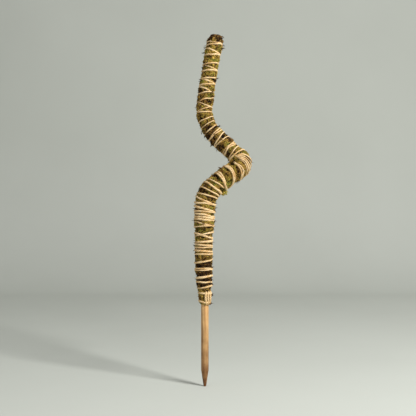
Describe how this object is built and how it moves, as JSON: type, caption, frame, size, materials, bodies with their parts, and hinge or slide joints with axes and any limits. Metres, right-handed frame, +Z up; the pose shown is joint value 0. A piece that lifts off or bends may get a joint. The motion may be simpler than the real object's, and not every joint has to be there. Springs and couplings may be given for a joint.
{
  "type": "bendable moss pole",
  "caption": "Bendable climbing-plant support: S-bent coated-wire core padded with moss and bound with twine, on a pointed wooden stake for pushing into potting soil.",
  "frame": {"origin": "on the pole's axis at the soil line", "axes": "+Z up the pole's foot, +X to the right in the picture (the side the elbow points to), +Y to the pole's back"},
  "size_m": [0.0942, 0.0377, 0.5636],
  "materials": {
    "moss": "matte",
    "twine": "matte",
    "wood": "matte",
    "wire": "satin",
    "plastic": "matte"
  },
  "bodies": {
    "base": {"stake": "wood", "core_wire": "wire", "core_sleeve": "plastic", "moss_base_1": "moss", "moss_base_2": "moss", "moss_base_3": "moss", "twine_base": "twine", "moss_at_lower_run_bend": "moss", "twine_at_lower_run_bend": "twine"},
    "lower_run": {"moss_lower_run_1": "moss", "moss_lower_run_2": "moss", "moss_lower_run_3": "moss", "twine_lower_run": "twine", "moss_at_lower_bend": "moss", "twine_at_lower_bend": "twine"},
    "lower_diagonal": {"moss_lower_diagonal_1": "moss", "moss_lower_diagonal_2": "moss", "twine_lower_diagonal": "twine", "moss_at_elbow": "moss", "twine_at_elbow": "twine"},
    "upper_diagonal": {"moss_upper_diagonal_1": "moss", "moss_upper_diagonal_2": "moss", "twine_upper_diagonal": "twine", "moss_at_upper_bend": "moss", "twine_at_upper_bend": "twine"},
    "upper_run": {"moss_upper_run_1": "moss", "moss_upper_run_2": "moss", "twine_upper_run": "twine", "moss_at_upper_run_bend": "moss", "twine_at_upper_run_bend": "twine"},
    "tip": {"moss_tip_1": "moss", "moss_tip_2": "moss", "moss_tip_3": "moss", "twine_tip": "twine", "core_cap": "plastic"}
  },
  "joints": [
    {"name": "lower_run_bend", "type": "hinge", "parent": "base", "child": "lower_run", "pos_m": [0, 0, 0.0715], "axis": [0, 1, 0], "range_deg": [-35, 35], "deforming": ["moss_at_lower_run_bend", "twine_at_lower_run_bend", "core_wire", "core_sleeve"]},
    {"name": "lower_bend", "type": "hinge", "parent": "lower_run", "child": "lower_diagonal", "pos_m": [0.00473, 0, 0.16308], "axis": [0, -1, 0], "range_deg": [-25, 53], "deforming": ["moss_at_lower_bend", "twine_at_lower_bend", "core_wire", "core_sleeve"]},
    {"name": "elbow", "type": "hinge", "parent": "lower_diagonal", "child": "upper_diagonal", "pos_m": [0.05742, 0, 0.21353], "axis": [0, 1, 0], "range_deg": [0, 99], "deforming": ["moss_at_elbow", "twine_at_elbow", "core_wire", "core_sleeve"]},
    {"name": "upper_bend", "type": "hinge", "parent": "upper_diagonal", "child": "upper_run", "pos_m": [0.00243, 0, 0.28092], "axis": [0, -1, 0], "range_deg": [-30, 53], "deforming": ["moss_at_upper_bend", "twine_at_upper_bend", "core_wire", "core_sleeve"]},
    {"name": "upper_run_bend", "type": "hinge", "parent": "upper_run", "child": "tip", "pos_m": [0.00549, 0, 0.35335], "axis": [0, -1, 0], "range_deg": [-35, 35], "deforming": ["moss_at_upper_run_bend", "twine_at_upper_run_bend", "core_wire", "core_sleeve"]}
  ]
}
